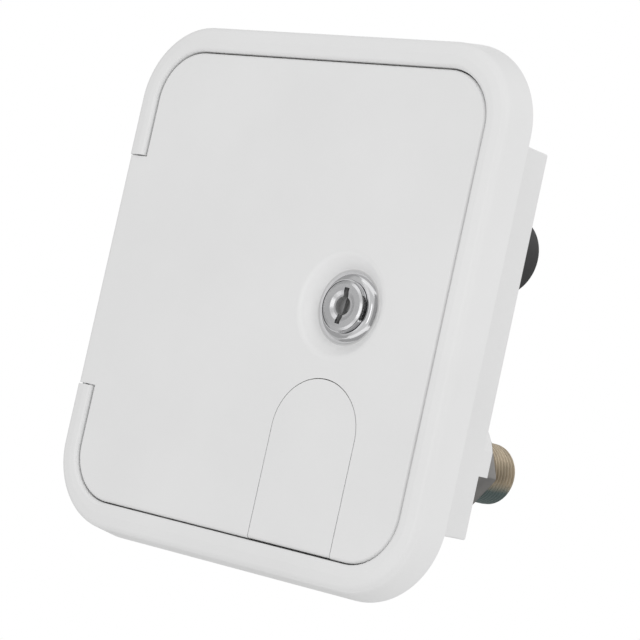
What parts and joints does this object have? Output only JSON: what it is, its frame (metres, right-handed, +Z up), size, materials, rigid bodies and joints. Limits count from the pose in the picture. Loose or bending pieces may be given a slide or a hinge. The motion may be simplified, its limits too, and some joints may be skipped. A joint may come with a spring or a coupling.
{
  "type": "rv water inlet",
  "caption": "Locking wall hatch with a hinged door and hose flap over a check-valved city water inlet with a hose swivel and a capped gravity fill spout.",
  "frame": {"origin": "centre of the four mounting screws, in the plane of the flange's back, which lies on the vehicle's wall", "axes": "+X to the right seen from outside, +Y into the vehicle along the fittings, +Z up"},
  "size_m": [0.1658, 0.0908, 0.1828],
  "materials": {
    "white_plastic": "satin moulded ABS",
    "black_plastic": "matt moulded polypropylene",
    "valve_plastic": "natural acetal",
    "chrome": "polished plating",
    "zinc_steel": "zinc plated",
    "stainless": "bright drawn",
    "brass": "turned, dull",
    "rubber": "matt"
  },
  "bodies": {
    "housing": {"housing": "white_plastic", "door_seal": "rubber", "hinge_pins": "stainless", "inlet_body": "brass", "inlet_gasket": "rubber", "inlet_locknut": "brass", "hose_washer": "rubber", "strainer": "stainless", "check_spring": "stainless", "spring_retainer": "valve_plastic", "fill_spout": "black_plastic", "fill_gasket": "rubber", "fill_screws": "stainless"},
    "door": {"door": "white_plastic", "flap_pin": "stainless", "lock_bezel": "chrome", "lock_body": "chrome", "lock_nut": "zinc_steel"},
    "hose_flap": {"hose_flap": "white_plastic"},
    "lock_plug": {"lock_plug": "chrome", "lock_cam": "zinc_steel", "lock_washer": "zinc_steel", "cam_screw": "zinc_steel"},
    "swivel_collar": {"swivel_collar": "brass"},
    "check_poppet": {"check_poppet": "valve_plastic", "check_seal": "rubber"},
    "fill_cap": {"fill_cap": "black_plastic", "cap_o_ring": "rubber"}
  },
  "joints": [
    {"name": "door_hinge", "type": "hinge", "parent": "housing", "child": "door", "pos_m": [-0.0784, -0.0091, 0], "axis": [0, 0, -1], "range_deg": [0, 150]},
    {"name": "flap_hinge", "type": "hinge", "parent": "door", "child": "hose_flap", "pos_m": [0.03085, -0.0093, -0.07745], "axis": [1, 0, 0], "range_deg": [0, 90]},
    {"name": "lock_turn", "type": "hinge", "parent": "door", "child": "lock_plug", "pos_m": [0.0308, 0, 0], "axis": [0, -1, 0], "range_deg": [0, 90]},
    {"name": "collar_swivel", "type": "hinge", "parent": "housing", "child": "swivel_collar", "pos_m": [0.0385, 0.02, -0.0421], "axis": [0, 1, 0], "continuous": true},
    {"name": "poppet_slide", "type": "slide", "parent": "housing", "child": "check_poppet", "axis": [0, 1, 0], "range_m": [0, 0.003], "stiffness_N_per_m": 150, "springref_m": -0.004, "deforming": ["check_spring"]},
    {"name": "cap_pull", "type": "slide", "parent": "housing", "child": "fill_cap", "axis": [0, -1, 0], "range_m": [0, 0.014]}
  ]
}
